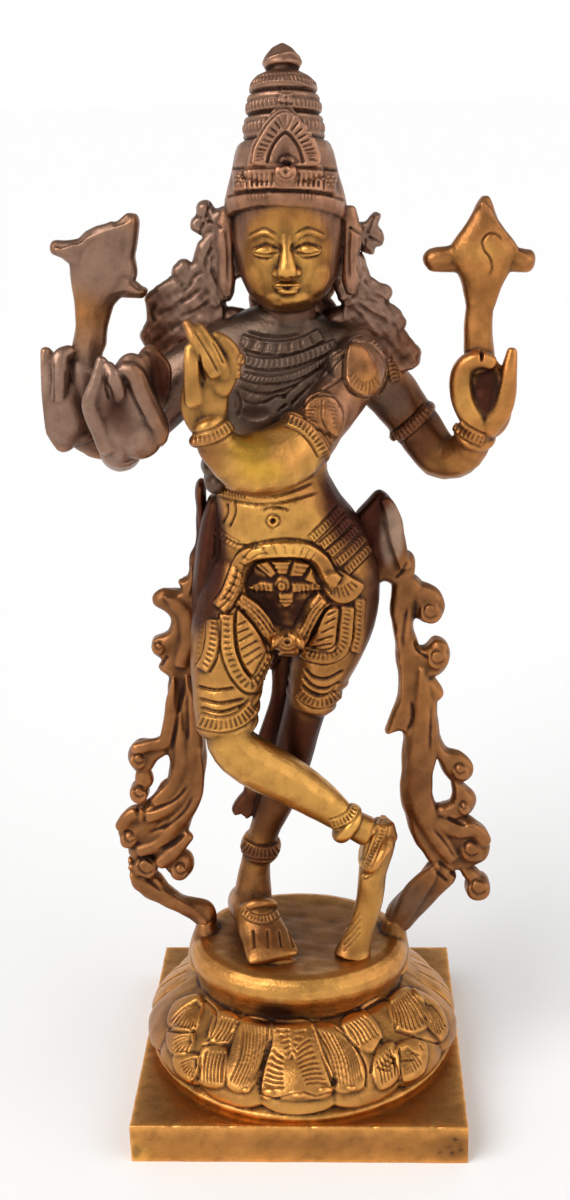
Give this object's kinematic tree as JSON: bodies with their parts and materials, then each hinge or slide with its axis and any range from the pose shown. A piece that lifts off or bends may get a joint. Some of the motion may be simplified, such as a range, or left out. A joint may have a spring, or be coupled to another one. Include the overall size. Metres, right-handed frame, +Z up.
{
  "type": "venugopala statue",
  "caption": "Cast brass figure of a many-armed flute player dancing with crossed legs between scrolls, on a lotus base and square plinth.",
  "frame": {"origin": "middle of the plinth's underside", "axes": "+Z up to the tip of the crown, the figure faces -Y, and its own left hand is on the +X side"},
  "size_m": [0.0987, 0.0724, 0.2272],
  "materials": {
    "brass": "cast and chased, with a dark patina in the hollows and bright worn high spots"
  },
  "bodies": {
    "root": {"statue": "brass"}
  },
  "joints": []
}
